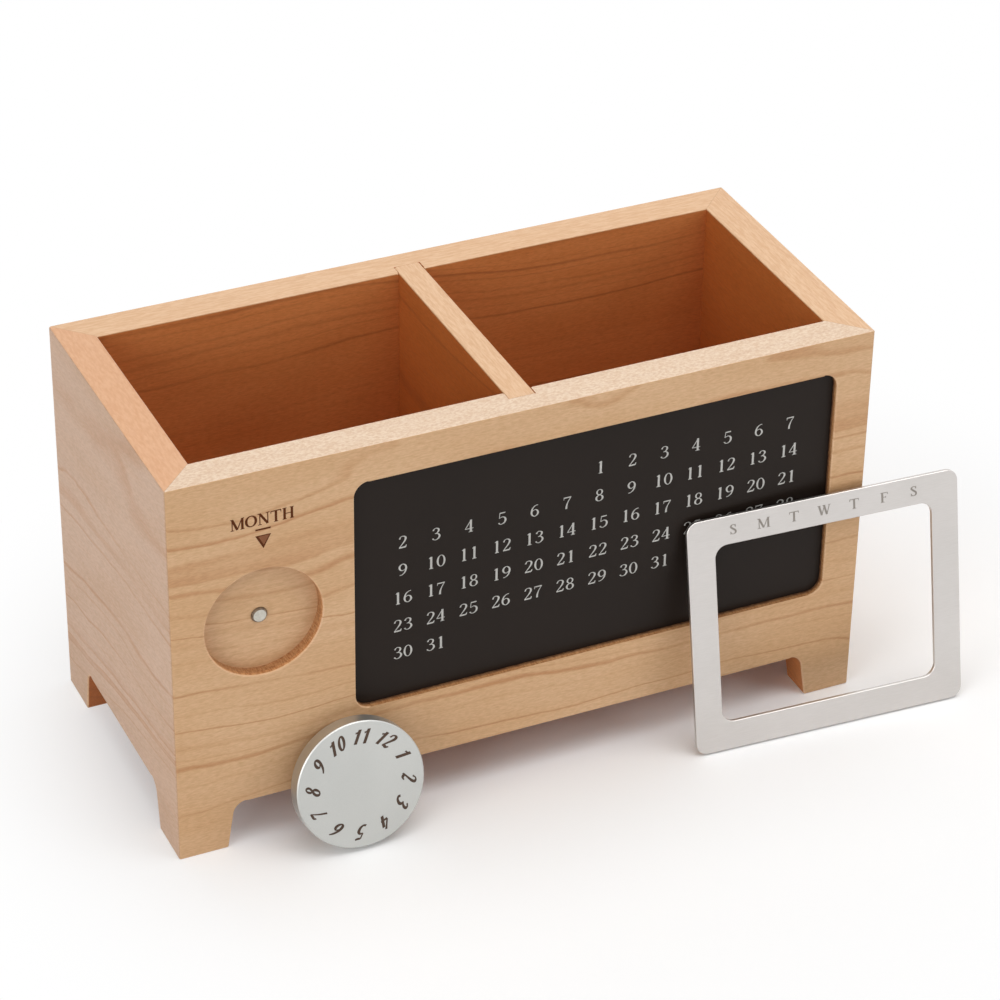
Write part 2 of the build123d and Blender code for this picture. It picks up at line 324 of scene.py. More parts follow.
def softened_board(node, name, radius):
    """Copy a board, join its facets and round the arrises that a hand would sand.

    The rounded arrises take the board's second material, a paler tone that paints their highlight.
    """
    work = bmesh.new()
    work.from_mesh(frame["nodes"][node].data)
    bmesh.ops.remove_doubles(work, verts=work.verts, dist=0.001 * mm)
    bmesh.ops.dissolve_limit(work, angle_limit=radians(0.5), verts=work.verts, edges=work.edges)
    on_mitre = {
        face for face in work.faces
        if abs(abs(face.normal.x) - abs(face.normal.y)) < 0.01 and face.calc_area() > least_mitre
    }
    sanded = []
    for edge in work.edges:
        middle = (edge.verts[0].co + edge.verts[1].co) / 2
        outside = (
            middle.z < foot_height + mm
            or middle.z > rim_z - mm
            or abs(middle.x) > outer_x - mm
            or abs(middle.y) > outer_y - mm
        )
        square = edge.is_convex and edge.calc_face_angle(0) > radians(60)
        if outside and square and not on_mitre.intersection(edge.link_faces):
            sanded.append(edge)
    bmesh.ops.bevel(
        work, geom=sanded, offset=radius, segments=2, profile=0.5, affect="EDGES",
        material=1, clamp_overlap=False,
    )
    for face in work.faces:
        face.smooth = True
    for edge in work.edges:
        edge.smooth = edge.calc_face_angle(0) < radians(50)
    piece = piece_from(work, name)
    even = piece.modifiers.new("even_normals", "WEIGHTED_NORMAL")
    even.keep_sharp = True
    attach(piece, frame["nodes"][node]["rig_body"])
    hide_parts(node)
    return piece


def paint_shade_inside(board, turn, pith, pale=inner_shade_cherry):
    """Give the faces inside and under the box a deeper tone of the board's wood, as painted shade."""
    board.data.materials.append(cherry_material(
        "cherry_shade_inside_" + board.name, turn, pith, ring_width=6.5, waviness=0.6, pale=pale,
        ring=inner_shade_ring, lines=0.5, joint=False,
    ))
    for face in board.data.polygons:
        middle = face.center
        inside = abs(middle.x) < outer_x - mm and abs(middle.y) < outer_y - mm
        in_pocket = middle.y < -outer_y + pocket_depth + 0.1 * mm and middle.z > below_pockets
        if inside and not in_pocket and mm < middle.z < rim_z - arris_radius:
            face.material_index = len(board.data.materials) - 1


front_board = softened_board("front_wall", "front_board", arris_radius)
for name, pale, flecks, rim, pocket_shade in (
    ("cherry_front", pale_cherry, 0.2, front_rim_fibres_and_sheen, 0.0),
    ("cherry_front_arris", arris_highlight_cherry, 0.05, None, 0.0),
    ("cherry_round_pocket", milled_cherry, 0.4, None, 0.35),
    ("cherry_long_pocket", milled_cherry, 0.4, None, 0.95),
):
    front_board.data.materials.append(cherry_material(
        name, (0, 0, 0), front_pith, ring_width=5.0, pale=pale, flecks=flecks, rim=rim, pocket_shade=pocket_shade,
    ))
for face in front_board.data.polygons:
    in_pocket = -outer_y + 0.3 * mm < face.center.y < -outer_y + pocket_depth
    if in_pocket and abs(face.normal.y) < 0.3 and below_pockets < face.center.z < rim_z - 5 * mm:
        face.material_index = 3 if face.center.x > between_pockets else 2
paint_shade_inside(front_board, (0, 0, 0), front_pith)

# --- Back board and end boards ----------------------------------------------------------------
# The same cherry, mitred to the front board and to each other.  The end boards' grain runs from
# front to back, so it is turned before the rings are drawn.

quarter_turn = (0, 0, pi / 2)
# Painted shade: a still darker tone for the end boards' and divider's faces inside and under the box
shaded_cherry = (0.520, 0.158, 0.032, 1)
tilted_turn = (radians(10), 0, pi / 2)
# The rims' speck tones are partly their planed fibres and partly painted sheen and glints.
back_rim_fibres_and_sheen = ((0.3, 2.2, 2.2), (0.70, 0.42, 0.24, 1), (0.84, 0.57, 0.37, 1), 0.7)
left_rim_fibres_and_sheen = ((0.3, 1.5, 1.5), (0.69, 0.36, 0.19, 1), (0.77, 0.44, 0.25, 1), 0.9)
# The left board's tone is greyer and bluer than the others': painted sheen that its face catches at a
# grazing view.
for node, name, turn, pith, pale, lines, rim in (
    ("back_wall", "back_board", (0, 0, 0), (200, -70, -15), pale_cherry, 0.8, back_rim_fibres_and_sheen),
    ("left_wall", "left_board", tilted_turn, (400, 60, -90), (0.635, 0.410, 0.272, 1), 0.6, left_rim_fibres_and_sheen),
    ("right_wall", "right_board", quarter_turn, (700, 50, -60), pale_cherry, 0.5, back_rim_fibres_and_sheen),
):
    board = softened_board(node, name, arris_radius)
    for part, tone in (("", pale), ("_arris", arris_highlight_cherry)):
        board.data.materials.append(cherry_material(
            "cherry_" + name + part, turn, pith, ring_width=4.6, pale=tone, lines=lines, rim=rim,
        ))
    paint_shade_inside(board, turn, pith, inner_shade_cherry if name == "back_board" else shaded_cherry)

# --- Divider ----------------------------------------------------------------------------------
# A thinner board of the same cherry, housed in the front and back boards, flush with the rim.

divider_board = softened_board("divider", "divider_board", arris_radius)
for part, tone in (("", pale_cherry), ("_arris", arris_highlight_cherry)):
    divider_board.data.materials.append(cherry_material(
        "cherry_divider" + part, quarter_turn, (900, 40, -70), pale=tone, lines=0.45, joint=False,
        rim=back_rim_fibres_and_sheen,
    ))
paint_shade_inside(divider_board, quarter_turn, (900, 40, -70), shaded_cherry)

# --- Floor board ------------------------------------------------------------------------------
# Sits loose in its groove in the four boards, so that it can swell and shrink.

floor_mesh = frame["nodes"]["floor_panel"].data
# The floor board takes the deeper inside tone, which paints the shade inside the box.
floor_mesh.materials.clear()
floor_mesh.materials.append(cherry_material(
    "cherry_floor", (0, 0, 0), (1200, 30, 70), pale=inner_shade_cherry, ring=inner_shade_ring, joint=False,
))

# --- Black plate and its film -----------------------------------------------------------------
# Sheet steel, 1.5 mm thick, with a satin black coat.  It is stuck to the floor of the long
# pocket with a thin double-sided film, and never taken out.

finish, given = start_group("fine_finish", [
    ("Place", VECTOR, None),
    ("Marks", VECTOR, (1, 1, 1)),
    ("Low Tone", COLOUR, (0.5, 0.5, 0.5, 1)),
    ("High Tone", COLOUR, (0.6, 0.6, 0.6, 1)),
    ("Low Roughness", SCALAR, 0.35),
    ("High Roughness", SCALAR, 0.45),
])
marks = add_noise(finish, given["Place"], given["Marks"], 3.0, 0.65)
drift = add_noise(finish, given["Place"], (0.04, 0.04, 0.04))
tone_share = add_math(
    finish, "ADD",
    add_math(finish, "MULTIPLY", add_ramp(finish, marks, 0.25, 0.75), 0.6),
    add_math(finish, "MULTIPLY", add_ramp(finish, drift, 0.3, 0.7), 0.4),
)
end_group(
    finish,
    Color=add_mix(finish, tone_share, given["Low Tone"], given["High Tone"]),
    Roughness=add_node(finish, "ShaderNodeMapRange", {
        "Value": tone_share, "To Min": given["Low Roughness"], "To Max": given["High Roughness"],
    }).outputs["Result"],
    Height=marks,
)


def fine_material(name, tones, roughness, marks, metallic=0.0, bump=0.1, specular=0.5):
    """A material whose tone and roughness vary finely; marks are per millimetre along each axis."""
    material, _, place = start_material(name)
    fine = add_node(material.node_tree, "ShaderNodeGroup", {
        "Place": place, "Marks": marks, "Low Tone": (*tones[0], 1), "High Tone": (*tones[1], 1),
        "Low Roughness": roughness[0], "High Roughness": roughness[1],
    }, node_tree=finish).outputs
    shader = finish_shader(
        material, fine["Color"], fine["Roughness"], fine["Height"], bump, 0.02 * mm,
    )
    shader.inputs["Metallic"].default_value = metallic
    shader.inputs["Specular IOR Level"].default_value = specular
    return material


def dress(node, material):
    """Give a CAD node its finished material."""
    mesh = frame["nodes"][node].data
    mesh.materials.clear()
    mesh.materials.append(material)


dress("calendar_plate", fine_material(
    "black_coat", ((0.0130, 0.0080, 0.0055), (0.0165, 0.0105, 0.0075)), (0.40, 0.48), (4, 4, 4),
    specular=0.16,
))
dress("plate_film", fine_material(
    "milky_film", ((0.72, 0.71, 0.66), (0.80, 0.79, 0.74)), (0.45, 0.55), (0.5, 0.5, 0.5),
))

# --- Dates on the plate -----------------------------------------------------------------------
# 1 to 31 in weeks of seven, over thirteen columns, so that the frame shows any month.  They are
# etched through the black coat to the bare metal, in upright figures with thick and thin strokes.

day_pitch, week_pitch = 8.4 * mm, 7.74 * mm
days_in_week, day_columns, week_rows, last_date = 7, 13, 6, 31
date_height, date_width = 3.35 * mm, 1.37  # the width is a share of the figures' drawn width
figure_advance = 0.566  # from tens to units, as a share of the same
first_column, first_row = 12.48 * mm, 50.78 * mm  # from the plate's lower left corner
proud, sunk = 0.03 * mm, 0.04 * mm  # how far a figure stands out of its face, and below it


def oval(across, up, half_width, half_height, side, top):
    """A closed stroke round an oval, thick at its sides and thin at its top."""
    turns = [2 * pi * step / 12 for step in range(13)]
    return [
        (across + half_width * cos(turn), up + half_height * sin(turn), top + (side - top) * cos(turn) ** 2)
        for turn in turns
    ]


def bar(start, end, up, width=0.04):
    """A level stroke, as a serif or a cross bar."""
    return [(start, up, width), (end, up, width)]


def stem(across, low=0.0, high=1.0, width=0.12):
    """An upright stroke."""
    return [(across, low, width), (across, high, width)]


def turned(strokes):
    """The same strokes upside down, as a 9 is a 6."""
    return [[(0.5 - across, 1 - up, width) for across, up, width in stroke] for stroke in strokes]


six = [[
    (0.42, 0.93, 0.06), (0.28, 0.90, 0.05), (0.13, 0.72, 0.08), (0.065, 0.40, 0.11),
    (0.10, 0.16, 0.09), (0.24, 0.02, 0.05), (0.38, 0.12, 0.09), (0.43, 0.30, 0.11),
    (0.37, 0.50, 0.08), (0.25, 0.57, 0.045), (0.13, 0.48, 0.04), (0.08, 0.36, 0.03),
]]
upright_figures = [
    [oval(0.25, 0.5, 0.19, 0.46, 0.11, 0.045)],
    [stem(0.27), [(0.27, 0.97, 0.07), (0.16, 0.88, 0.06)], bar(0.16, 0.38, 0.03, 0.06)],
    [[(0.08, 0.76, 0.09), (0.13, 0.92, 0.05), (0.25, 0.975, 0.05), (0.38, 0.90, 0.09),
      (0.41, 0.73, 0.11), (0.33, 0.50, 0.085), (0.18, 0.25, 0.05), (0.06, 0.05, 0.045)],
     bar(0.05, 0.41, 0.055, 0.11), [(0.40, 0.05, 0.09), (0.45, 0.22, 0.03)]],
    [[(0.09, 0.80, 0.10), (0.15, 0.94, 0.05), (0.26, 0.975, 0.05), (0.38, 0.89, 0.09),
      (0.39, 0.74, 0.10), (0.31, 0.59, 0.06), (0.18, 0.54, 0.03)],
     [(0.18, 0.54, 0.03), (0.33, 0.52, 0.06), (0.43, 0.38, 0.10), (0.43, 0.22, 0.11),
      (0.34, 0.07, 0.08), (0.22, 0.02, 0.05), (0.11, 0.07, 0.05), (0.07, 0.17, 0.10)]],
    [[(0.35, 0.98, 0.05), (0.03, 0.29, 0.045)], bar(0.02, 0.48, 0.29, 0.05), stem(0.34),
     bar(0.22, 0.46, 0.02)],
    [bar(0.11, 0.42, 0.945, 0.09), [(0.12, 0.95, 0.035), (0.09, 0.52, 0.035)],
     [(0.09, 0.52, 0.04), (0.25, 0.61, 0.05), (0.39, 0.53, 0.09), (0.44, 0.34, 0.11),
      (0.38, 0.12, 0.09), (0.23, 0.02, 0.05), (0.11, 0.06, 0.05), (0.07, 0.16, 0.10)]],
    six,
    [bar(0.05, 0.46, 0.93, 0.09), [(0.06, 0.96, 0.03), (0.05, 0.76, 0.03)],
     [(0.45, 0.93, 0.04), (0.31, 0.62, 0.05), (0.22, 0.30, 0.09), (0.20, 0.0, 0.11)]],
    [oval(0.25, 0.75, 0.15, 0.215, 0.09, 0.045), oval(0.25, 0.26, 0.18, 0.24, 0.11, 0.045)],
    turned(six),
]

# Tree that joins a figure's overlapping strokes into one closed solid
joiner, given = start_group("joined_strokes", [("Strokes", "NodeSocketGeometry", None)],
                            "GeometryNodeTree")
joined = add_node(joiner, "GeometryNodeMeshBoolean", operation="UNION", solver="EXACT")
joiner.links.new(given["Strokes"], joined.inputs["Mesh 2"])
joined.inputs["Self Intersection"].default_value = True
end_group(joiner, Figure=joined.outputs["Mesh"])


def evaluated_mesh(piece, name):
    """The mesh of an object with its modifiers carried out."""
    ready = bpy.context.evaluated_depsgraph_get()
    mesh = bpy.data.meshes.new_from_object(piece.evaluated_get(ready))
    mesh.name = name
    return mesh


def draw_stroke(work, points):
    """Draw one closed ribbon through (across, up, width) points with a smooth curve."""
    closed = len(points) > 2 and Vector(points[0][:2]) == Vector(points[-1][:2])
    points = [Vector(point) for point in (points[:-1] if closed else points)]
    count = len(points)
    steps = 1 if count == 2 else 3
    path = []
    for index in range(count if closed else count - 1):
        nearby = [
            points[(index + shift) % count if closed else min(max(index + shift, 0), count - 1)]
            for shift in (-1, 0, 1, 2)
        ]
        before, start, end, after = nearby
        for step in range(steps):
            t = step / steps
            path.append(0.5 * (
                2 * start + (end - before) * t
                + (2 * before - 5 * start + 4 * end - after) * t ** 2
                + (3 * start - before - 3 * end + after) * t ** 3
            ))
    if not closed:
        path.append(points[-1])
    rings = []
    for index, spot in enumerate(path):
        last = path[index - 1] if closed or index else spot
        following = path[(index + 1) % len(path)] if closed or index < len(path) - 1 else spot
        ahead = (following - last).to_2d().normalized()
        side = Vector((-ahead.y, ahead.x)) * spot.z / 2
        left, right = spot.to_2d() + side, spot.to_2d() - side
        rings.append([
            work.verts.new((*corner, level))
            for corner, level in ((left, 1), (right, 1), (right, -1), (left, -1))
        ])
    for first, second in zip(rings, rings[1:] + (rings[:1] if closed else [])):
        for edge in range(4):
            work.faces.new((first[edge], first[edge - 1], second[edge - 1], second[edge]))
    if not closed:
        work.faces.new(rings[0])
        work.faces.new(rings[-1])


def figure_mesh(name, strokes, weight, shear=0.0):
    """Join strokes into one figure, one unit high and sheared to the right; weight thickens it."""
    work = bmesh.new()
    for points in strokes:
        draw_stroke(work, [(across, up, width * weight) for across, up, width in points])
    for spot in work.verts:
        spot.co.x += shear * spot.co.y
    bmesh.ops.recalc_face_normals(work, faces=work.faces)
    piece = piece_from(work, name)
    piece.modifiers.new("joiner", "NODES").node_group = joiner
    result = evaluated_mesh(piece, name)
    bpy.data.objects.remove(piece)
    return result


def figure_set(name, figures, weight, shear=0.0):
    """Keep the ten figures, centred, in a collection that the scene doesn't show."""
    collection = bpy.data.collections.new(name)
    for value, strokes in enumerate(figures):
        mesh = figure_mesh(f"{name}_{value}", strokes, weight, shear)
        mesh.transform(Matrix.Translation((-0.25 - shear / 2, -0.5, 0)))
        collection.objects.link(bpy.data.objects.new(f"{name}_{value}", mesh))
    return collection


# Tree that stands one or two figures at every point, by the point's number and turn
WRITER_SOCKETS = [
    ("Figures", "NodeSocketCollection", None),
    ("Figure Height", SCALAR, 0.004),
    ("Figure Width", SCALAR, 1.0),
    ("Thickness", SCALAR, 0.00003),
    ("Advance", SCALAR, 0.6),
]
writer, given = start_group("written_numbers", [
    ("Points", "NodeSocketGeometry", None), *WRITER_SOCKETS,
], "GeometryNodeTree")
number = add_node(writer, "GeometryNodeInputNamedAttribute", {0: "number"}).outputs[0]
turn = add_node(writer, "GeometryNodeInputNamedAttribute", {0: "turn"}).outputs[0]
two_figures = add_math(writer, "GREATER_THAN", number, 9.5)
shapes = add_node(writer, "GeometryNodeCollectionInfo", {
    "Collection": given["Figures"], "Separate Children": True, "Reset Children": True,
}).outputs[0]
shift = add_math(
    writer, "MULTIPLY", two_figures, add_math(writer, "MULTIPLY", given["Advance"], 0.5),
)
written = writer.nodes.new("GeometryNodeJoinGeometry")
ones = add_math(writer, "MODULO", add_math(writer, "ADD", number, 0.01), 10.0)
tens = add_math(writer, "FLOOR", add_math(writer, "DIVIDE", add_math(writer, "ADD", number, 0.01), 10.0))
for picked, chosen, side in ((add_math(writer, "FLOOR", ones), True, 1.0), (tens, two_figures, -1.0)):
    size = add_node(writer, "ShaderNodeCombineXYZ", {
        0: add_math(writer, "MULTIPLY", given["Figure Height"], given["Figure Width"]),
        1: given["Figure Height"], 2: given["Thickness"],
    }).outputs[0]
    stood = add_node(writer, "GeometryNodeInstanceOnPoints", {
        "Points": given["Points"], "Selection": chosen, "Instance": shapes, "Pick Instance": True,
        "Instance Index": picked, "Scale": size,
        "Rotation": add_node(writer, "ShaderNodeCombineXYZ", {2: turn}).outputs[0],
    }).outputs[0]
    across = add_node(writer, "ShaderNodeCombineXYZ", {0: add_math(writer, "MULTIPLY", shift, side)})
    moved = add_node(writer, "GeometryNodeTranslateInstances", {
        "Instances": stood, "Translation": across.outputs[0], "Local Space": True,
    }).outputs[0]
    writer.links.new(moved, written.inputs[0])
end_group(writer, Numbers=written.outputs[0])


def number_points(tree, count, place, attributes):
    """Points at places worked out from their index, with named values stored on them."""
    made = add_node(tree, "GeometryNodePoints", {"Count": count, "Position": place}).outputs[0]
    for name, value in attributes.items():
        made = add_node(tree, "GeometryNodeStoreNamedAttribute", {
            "Geometry": made, "Name": name, "Value": value,
        }, data_type="FLOAT", domain="POINT").outputs[0]
    return made


def write_numbers(tree, points, given):
    """Write a number at each point, and end the tree with the solid figures in their material."""
    handed_on = {socket: given[socket] for socket, _, _ in WRITER_SOCKETS}
    numbers = add_node(tree, "GeometryNodeGroup", {"Points": points, **handed_on}, node_tree=writer)
    solid = add_node(tree, "GeometryNodeRealizeInstances", {0: numbers.outputs[0]})
    end_group(tree, Numbers=add_node(tree, "GeometryNodeSetMaterial", {
        "Geometry": solid.outputs[0], "Material": given["Material"],
    }).outputs[0])


date_tree, given = start_group("month_of_dates", [
    ("Day Pitch", SCALAR, 0.008), ("Week Pitch", SCALAR, 0.008), ("Columns", SCALAR, 13.0),
    ("Rows", SCALAR, 6.0), ("Days In Week", SCALAR, 7.0), ("Last Date", SCALAR, 31.0),
    *WRITER_SOCKETS, ("Material", "NodeSocketMaterial", None),
], "GeometryNodeTree")
index = date_tree.nodes.new("GeometryNodeInputIndex").outputs[0]
row = add_math(date_tree, "FLOOR", add_math(
    date_tree, "DIVIDE", add_math(date_tree, "ADD", index, 0.01), given["Columns"],
))
column = add_math(date_tree, "SUBTRACT", index, add_math(date_tree, "MULTIPLY", row, given["Columns"]))
blank_days = add_math(date_tree, "SUBTRACT", given["Days In Week"], 1.0)
date = add_math(
    date_tree, "SUBTRACT",
    add_math(
        date_tree, "ADD",
        add_math(date_tree, "MULTIPLY", row, given["Days In Week"]),
        add_math(date_tree, "ADD", column, 1.0),
    ),
    blank_days,
)
date_place = add_node(date_tree, "ShaderNodeCombineXYZ", {
    0: add_math(date_tree, "MULTIPLY", column, given["Day Pitch"]),
    1: add_math(date_tree, "MULTIPLY", add_math(date_tree, "MULTIPLY", row, given["Week Pitch"]), -1.0),
}).outputs[0]
date_count = add_math(date_tree, "MULTIPLY", given["Columns"], given["Rows"])
date_points = number_points(date_tree, date_count, date_place, {"number": date, "turn": 0.0})
stored_date = add_node(date_tree, "GeometryNodeInputNamedAttribute", {0: "number"}).outputs[0]
no_date = add_math(
    date_tree, "ADD",
    add_math(date_tree, "LESS_THAN", stored_date, 0.5),
    add_math(date_tree, "GREATER_THAN", stored_date, add_math(date_tree, "ADD", given["Last Date"], 0.5)),
)
date_points = add_node(date_tree, "GeometryNodeDeleteGeometry", {
    "Geometry": date_points, "Selection": no_date,
}).outputs[0]
write_numbers(date_tree, date_points, given)


def grown_piece(name, tree, sizes):
    """Run a tree with its named inputs and keep what it makes as a plain mesh."""
    piece = bpy.data.objects.new(name, bpy.data.meshes.new(name))
    bpy.context.scene.collection.objects.link(piece)
    grower = piece.modifiers.new("grower", "NODES")
    grower.node_group = tree
    for socket in tree.interface.items_tree:
        if socket.in_out == "INPUT":
            grower[socket.identifier] = sizes[socket.name]
    piece.data = evaluated_mesh(piece, name)
    piece.modifiers.clear()
    return piece


def front_of(node, along, out):
    """The plane of a node's front, from its lowest corner: along it, up it and out of it."""
    up = out.cross(along)
    spots = [spot.co for spot in frame["nodes"][node].data.vertices]
    corner = (
        along * min(along.dot(spot) for spot in spots)
        + up * min(up.dot(spot) for spot in spots)
        + out * max(out.dot(spot) for spot in spots)
    )
    return Matrix.Translation(corner) @ Matrix((along, up, out)).transposed().to_4x4()


upright_set = figure_set("upright", upright_figures, 0.95)
bare_metal = fine_material(
    "etched_metal", ((0.50, 0.49, 0.46), (0.60, 0.59, 0.56)), (0.45, 0.60), (3, 3, 3),
)
calendar_numerals = grown_piece("calendar_numerals", date_tree, {
    "Day Pitch": day_pitch, "Week Pitch": week_pitch, "Columns": float(day_columns),
    "Rows": float(week_rows), "Days In Week": float(days_in_week), "Last Date": float(last_date),
    "Figures": upright_set, "Figure Height": date_height, "Figure Width": date_width,
    "Thickness": proud, "Advance": figure_advance, "Material": bare_metal,
})
plate_front = front_of("calendar_plate", Vector((1, 0, 0)), Vector((0, -1, 0)))
calendar_numerals.data.transform(plate_front @ Matrix.Translation((first_column, first_row, 0)))
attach(calendar_numerals, "box")

# --- MONTH, its bar and arrow -----------------------------------------------------------------
# Burnt into the front board above the round pocket, to point at the month on the dial's edge.

month_left, month_low = 15.1 * mm, 88.6 * mm  # of the word, from the board's lower left corner
month_width, letter_height, letter_width = 15.4 * mm, 3.05 * mm, 3.54 * mm
arrow_middle = 22.9 * mm
arrow_half_width, arrow_top, arrow_tip = 1.9 * mm, 85.8 * mm, 82.2 * mm
# The paler middle is set in from the arrow's edges, more at the left; the dark rim left round it is painted
# shade on the engraving's walls.
fill_left, fill_right = 0.62, 0.80  # of the arrow's paler middle, as shares of its half width
fill_shift, fill_top, fill_tip = 0.1 * mm, 0.22 * mm, 0.95 * mm  # in from the arrow's own
fill_proud = 1.3  # as a share of how far the letters stand out
bar_height, bar_half_width, bar_thickness = 87.4 * mm, 1.85 * mm, 0.42 * mm
capitals = {
    "S": (0.50, [
        [(0.42, 0.74, 0.04), (0.37, 0.91, 0.06), (0.25, 0.97, 0.05), (0.11, 0.89, 0.09),
         (0.09, 0.73, 0.12), (0.24, 0.55, 0.13), (0.41, 0.37, 0.12), (0.42, 0.15, 0.10),
         (0.27, 0.03, 0.05), (0.12, 0.09, 0.06), (0.06, 0.27, 0.04)],
        stem(0.425, 0.72, 0.98, 0.035), stem(0.055, 0.02, 0.28, 0.035)]),
    "T": (0.76, [
        stem(0.38, 0, 0.97), bar(0.03, 0.73, 0.955, 0.06), bar(0.24, 0.52, 0.02),
        [(0.05, 0.97, 0.05), (0.035, 0.76, 0.03)], [(0.71, 0.97, 0.05), (0.725, 0.76, 0.03)]]),
    "M": (0.96, [
        stem(0.13, 0, 0.97, 0.05), [(0.13, 0.98, 0.12), (0.47, 0.04, 0.12)],
        [(0.47, 0.04, 0.05), (0.80, 0.98, 0.05)], stem(0.82, 0, 0.98),
        bar(0.0, 0.2, 0.975), bar(0.76, 0.95, 0.975), bar(0.01, 0.26, 0.02), bar(0.68, 0.96, 0.02)]),
    "W": (1.02, [
        [(0.12, 0.98, 0.12), (0.32, 0.03, 0.12)], [(0.32, 0.03, 0.05), (0.51, 0.86, 0.05)],
        [(0.50, 0.98, 0.12), (0.71, 0.03, 0.12)], [(0.71, 0.03, 0.05), (0.92, 0.98, 0.05)],
        bar(0.0, 0.25, 0.975), bar(0.39, 0.63, 0.975), bar(0.81, 1.02, 0.975)]),
    "F": (0.58, [
        stem(0.16, 0, 0.97), bar(0.03, 0.56, 0.955, 0.055), bar(0.16, 0.42, 0.52, 0.045),
        [(0.55, 0.97, 0.05), (0.57, 0.76, 0.03)], stem(0.42, 0.42, 0.62, 0.035),
        bar(0.03, 0.33, 0.02)]),
    "O": (0.80, [oval(0.40, 0.5, 0.33, 0.46, 0.13, 0.06)]),
    "N": (0.82, [
        stem(0.15, 0, 0.97, 0.05), [(0.14, 0.98, 0.12), (0.68, 0.03, 0.12)],
        stem(0.69, 0.03, 0.98, 0.05), bar(0.0, 0.2, 0.975), bar(0.02, 0.28, 0.02),
        bar(0.56, 0.82, 0.975)]),
    "H": (0.82, [
        stem(0.16), stem(0.66), bar(0.16, 0.66, 0.5, 0.045), bar(0.02, 0.30, 0.975),
        bar(0.52, 0.80, 0.975), bar(0.02, 0.30, 0.02), bar(0.52, 0.80, 0.02)]),
}


def lettered_mesh(name, placed, height, width, weight):
    """Join capitals placed by (letter, left, low) into one mesh, with this height and width."""
    work = bmesh.new()
    for letter, left, low in placed:
        shape = figure_mesh(name + "_" + letter, capitals[letter][1], weight)
        shape.transform(
            Matrix.Translation((left, low, 0)) @ Matrix.Diagonal((width, height, proud, 1))
        )
        work.from_mesh(shape)
        bpy.data.meshes.remove(shape)
    return work


def finished_lettering(name, work, place, material, body):
    """Set a flat mesh on its face, give it its material and say what it rides on."""
    piece = piece_from(work, name, place)
    piece.data.materials.append(material)
    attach(piece, body)
    return piece


def flat_plate(work, outline, level=1.0, material=0):
    """A thin closed plate with this outline; at level one it is as deep as the letters."""
    top = [work.verts.new((*corner, proud * level)) for corner in outline]
    low = [work.verts.new((*corner, -proud * level)) for corner in outline]
    made = [work.faces.new(top), work.faces.new(low[::-1])]
    for index in range(len(outline)):
        made.append(work.faces.new((top[index - 1], low[index - 1], low[index], top[index])))
    for face in made:
        face.material_index = material


word = "MONTH"
letters_width = sum(capitals[letter][0] for letter in word) * letter_width
letter_gap = (month_width - letters_width) / (len(word) - 1)
placed, reach = [], month_left
for letter in word:
    placed.append((letter, reach, month_low))
    reach += capitals[letter][0] * letter_width + letter_gap
mark = lettered_mesh("month", placed, letter_height, letter_width, 1.4)
flat_plate(mark, [
    (arrow_middle - arrow_half_width, arrow_top), (arrow_middle, arrow_tip),
    (arrow_middle + arrow_half_width, arrow_top),
])
# Paler middle of the arrow; the dark rim round it paints the shade of the engraved walls.
flat_plate(mark, [
    (arrow_middle - arrow_half_width * fill_left, arrow_top - fill_top),
    (arrow_middle + fill_shift, arrow_tip + fill_tip),
    (arrow_middle + arrow_half_width * fill_right, arrow_top - fill_top),
], fill_proud, material=1)
flat_plate(mark, [
    (arrow_middle - bar_half_width, bar_height + bar_thickness / 2),
    (arrow_middle - bar_half_width, bar_height - bar_thickness / 2),
    (arrow_middle + bar_half_width, bar_height - bar_thickness / 2),
    (arrow_middle + bar_half_width, bar_height + bar_thickness / 2),
])
month_mark = finished_lettering(
    "month_mark", mark, front_of("front_wall", Vector((1, 0, 0)), Vector((0, -1, 0))),
    fine_material(
        "burnt_wood", ((0.075, 0.016, 0.003), (0.130, 0.036, 0.009)), (0.6, 0.8), (2, 9, 9), specular=0.15,
    ),
    "box",
)
month_mark.data.materials.append(fine_material(
    "browned_wood", ((0.200, 0.072, 0.030), (0.290, 0.118, 0.055)), (0.6, 0.8), (2, 9, 9), specular=0.2,
))

# --- Dial magnet ------------------------------------------------------------------------------
# A nickel-plated disc magnet glued in the middle of the round pocket, a little proud of its
# floor, so that the month dial snaps on and turns about it.

magnet_low, magnet_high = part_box("dial_magnet")
magnet_middle = (magnet_low + magnet_high) / 2
magnet_radius = (magnet_high.x - magnet_low.x) / 2
magnet_edge = 0.6 * mm
edge_facing = -0.96  # a face that looks out of the board less than this is round the edge


def turned_piece(name, profile, sides, place):
    """Turn a closed profile of (radius, height) about its own axis, and set it in its place."""
    work = bmesh.new()
    rows = []
    for radius, height in profile:
        around = [(radius * cos(2 * pi * side / sides), radius * sin(2 * pi * side / sides))
                  for side in range(sides)]
        rows.append([work.verts.new((*spot, height)) for spot in around])
    for low_row, high_row in zip(rows, rows[1:]):
        for side in range(sides):
            work.faces.new((low_row[side - 1], low_row[side], high_row[side], high_row[side - 1]))
    work.faces.new(rows[0][::-1])
    work.faces.new(rows[-1])
    bmesh.ops.recalc_face_normals(work, faces=work.faces)
    for face in work.faces:
        face.smooth = True
    for edge in work.edges:
        edge.smooth = edge.calc_face_angle(0) < radians(35)
    return piece_from(work, name, place)


